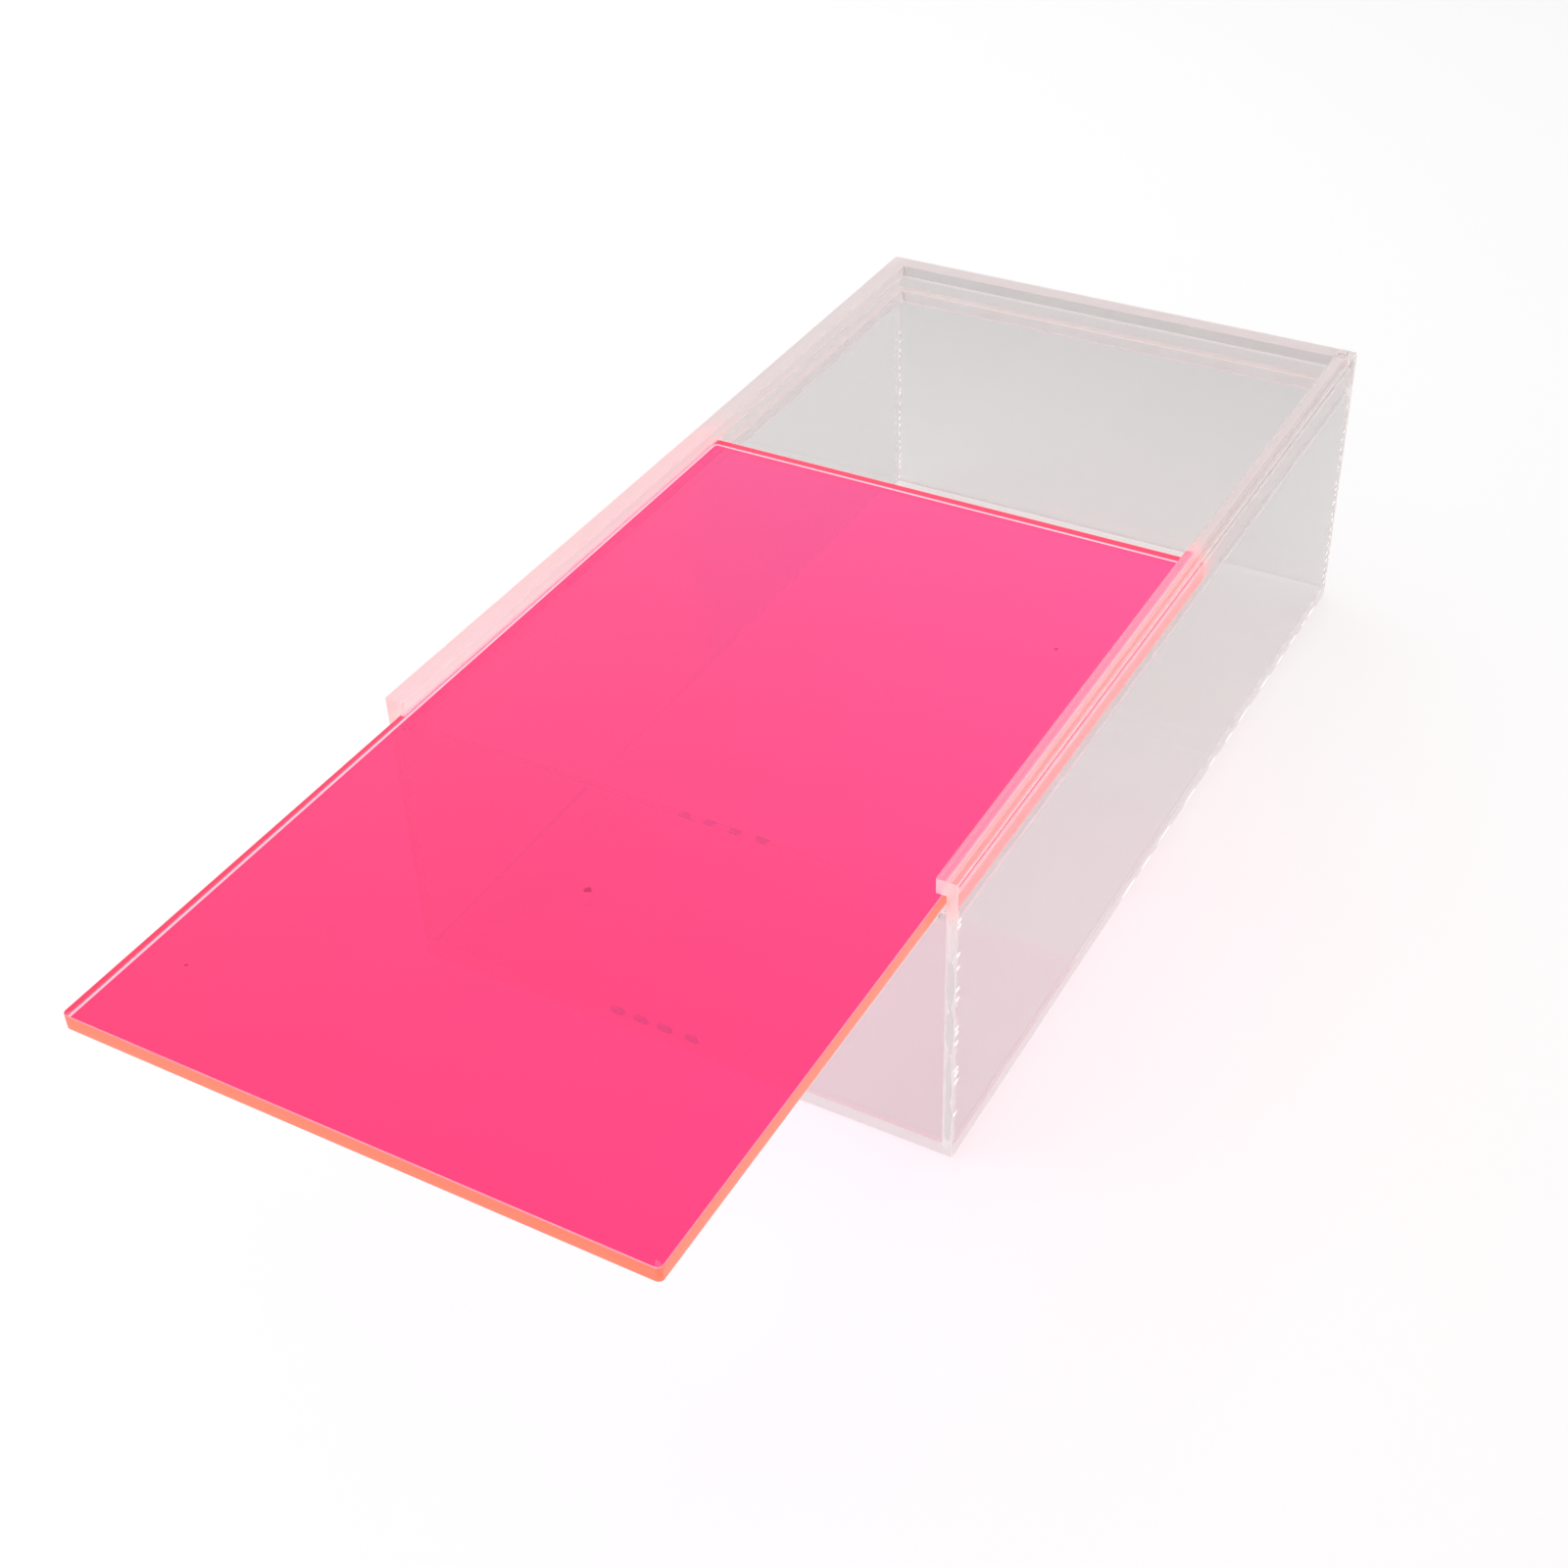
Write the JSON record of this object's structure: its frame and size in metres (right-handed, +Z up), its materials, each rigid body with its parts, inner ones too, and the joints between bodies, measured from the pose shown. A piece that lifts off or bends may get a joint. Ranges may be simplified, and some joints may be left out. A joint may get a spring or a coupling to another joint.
{
  "type": "sliding-lid acrylic case",
  "caption": "Clear acrylic sheet case with an open top, closed by a fluorescent pink lid that slides in grooves along the side and back walls and out over the low front wall.",
  "frame": {"origin": "middle of the underside of the floor panel, on the surface that the case stands on", "axes": "+Z up, +Y along the case towards its back wall, +X to the right as seen from the front; the lid leaves towards -Y"},
  "size_m": [0.1142, 0.2902, 0.0635],
  "materials": {
    "clear_acrylic": "polished clear cast acrylic sheet",
    "pink_acrylic": "polished fluorescent pink acrylic sheet with glowing edges"
  },
  "bodies": {
    "case": {"floor_panel": "clear_acrylic", "left_wall": "clear_acrylic", "right_wall": "clear_acrylic", "front_wall": "clear_acrylic", "back_wall": "clear_acrylic", "left_lip": "clear_acrylic", "right_lip": "clear_acrylic", "back_lip": "clear_acrylic", "left_ledge": "clear_acrylic", "right_ledge": "clear_acrylic", "back_ledge": "clear_acrylic"},
    "lid": {"lid": "pink_acrylic"}
  },
  "joints": [
    {"name": "lid_slide", "type": "slide", "parent": "case", "child": "lid", "axis": [0, -1, 0], "range_m": [-0.0886, 0.115]}
  ]
}
